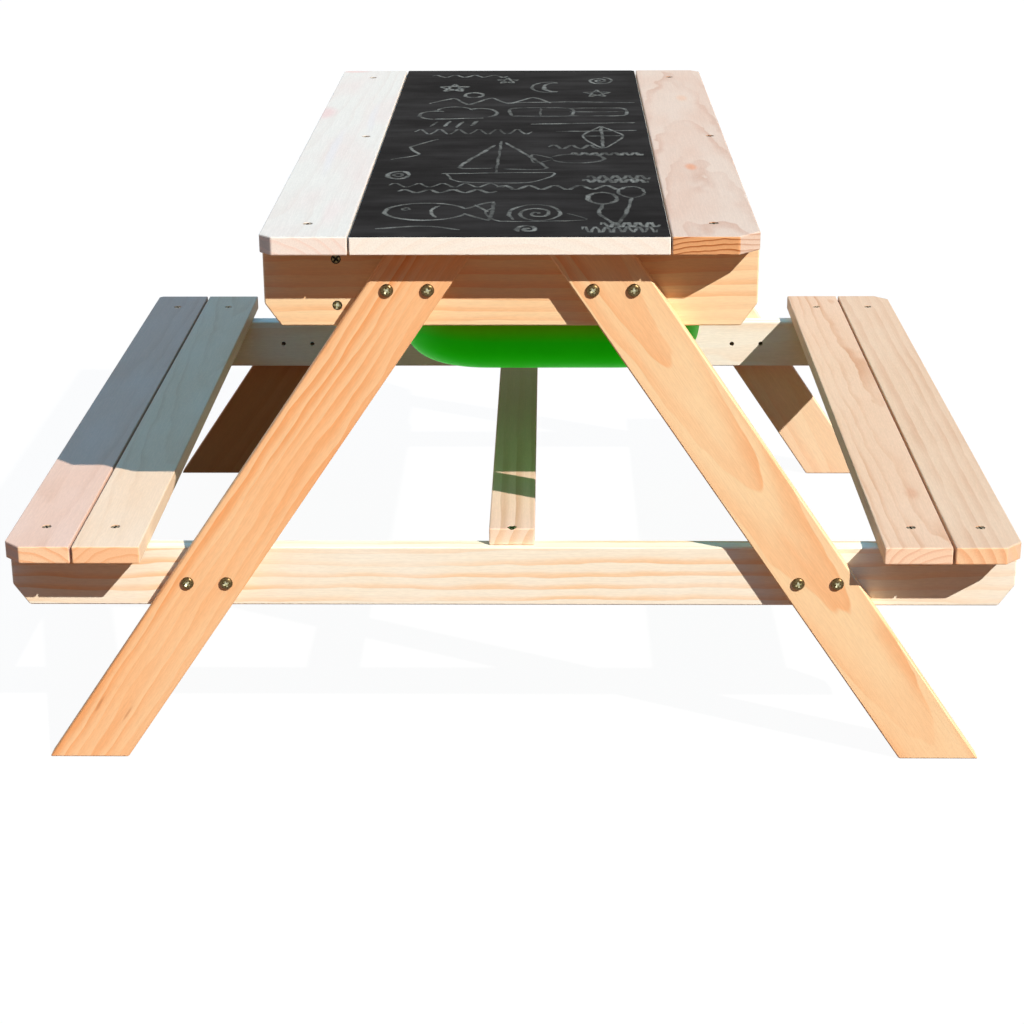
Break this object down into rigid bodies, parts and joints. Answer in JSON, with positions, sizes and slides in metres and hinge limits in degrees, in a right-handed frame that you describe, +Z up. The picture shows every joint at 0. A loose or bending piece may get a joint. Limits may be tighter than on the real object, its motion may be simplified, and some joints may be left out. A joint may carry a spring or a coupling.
{
  "type": "children's picnic table with sand tub",
  "caption": "Low wooden table with a bench on each long side, splayed legs, a sand tub under the top and a lift-off lid between two fixed planks.",
  "frame": {"origin": "on the ground under the middle of the table", "axes": "+X to the table's right across the benches, +Y along the table away from the viewer, +Z up"},
  "size_m": [0.906, 0.864, 0.496],
  "materials": {
    "pine": "planed, unvarnished, faint grain",
    "larch": "planed, warm orange with darker figure",
    "blackboard": "matt black board paint on the top face, bare wood at the edges",
    "green_plastic": "moulded polypropylene, satin",
    "bronze_steel": "dark bronze plating",
    "zinc_steel": "dulled zinc plating"
  },
  "bodies": {
    "frame": {"top_plank_left": "pine", "top_plank_right": "pine", "upper_rail_front": "pine", "upper_rail_back": "pine", "lower_rail_front": "pine", "lower_rail_back": "pine", "leg_front_left": "larch", "leg_front_right": "larch", "leg_back_left": "larch", "leg_back_right": "larch", "well_board_left": "pine", "well_board_right": "pine", "seat_plank_left_inner": "pine", "seat_plank_left_outer": "pine", "seat_plank_right_inner": "pine", "seat_plank_right_outer": "pine", "stretcher": "pine", "sand_tub": "green_plastic", "leg_screw_back_left_lower_inner": "bronze_steel", "leg_screw_back_left_lower_outer": "bronze_steel", "leg_screw_back_left_upper_inner": "bronze_steel", "leg_screw_back_left_upper_outer": "bronze_steel", "leg_screw_back_right_lower_inner": "bronze_steel", "leg_screw_back_right_lower_outer": "bronze_steel", "leg_screw_back_right_upper_inner": "bronze_steel", "leg_screw_back_right_upper_outer": "bronze_steel", "leg_screw_front_left_lower_inner": "bronze_steel", "leg_screw_front_left_lower_outer": "bronze_steel", "leg_screw_front_left_upper_inner": "bronze_steel", "leg_screw_front_left_upper_outer": "bronze_steel", "leg_screw_front_right_lower_inner": "bronze_steel", "leg_screw_front_right_lower_outer": "bronze_steel", "leg_screw_front_right_upper_inner": "bronze_steel", "leg_screw_front_right_upper_outer": "bronze_steel", "seat_screw_left_inner_back": "zinc_steel", "seat_screw_left_inner_front": "zinc_steel", "seat_screw_left_outer_back": "zinc_steel", "seat_screw_left_outer_front": "zinc_steel", "seat_screw_right_inner_back": "zinc_steel", "seat_screw_right_inner_front": "zinc_steel", "seat_screw_right_outer_back": "zinc_steel", "seat_screw_right_outer_front": "zinc_steel", "stretcher_screw_back": "zinc_steel", "stretcher_screw_front": "zinc_steel", "top_screw_left_back": "zinc_steel", "top_screw_left_front": "zinc_steel", "top_screw_left_middle": "zinc_steel", "top_screw_right_back": "zinc_steel", "top_screw_right_front": "zinc_steel", "top_screw_right_middle": "zinc_steel", "well_screw_left_back_lower": "zinc_steel", "well_screw_left_back_upper": "zinc_steel", "well_screw_left_front_lower": "zinc_steel", "well_screw_left_front_upper": "zinc_steel", "well_screw_right_back_lower": "zinc_steel", "well_screw_right_back_upper": "zinc_steel"},
    "lid": {"lid_panel": "blackboard", "lid_cleat_front": "pine", "lid_cleat_back": "pine"}
  },
  "joints": [
    {"name": "lid_lift", "type": "slide", "parent": "frame", "child": "lid", "axis": [0, 0, 1], "range_m": [0, 0.25]}
  ]
}
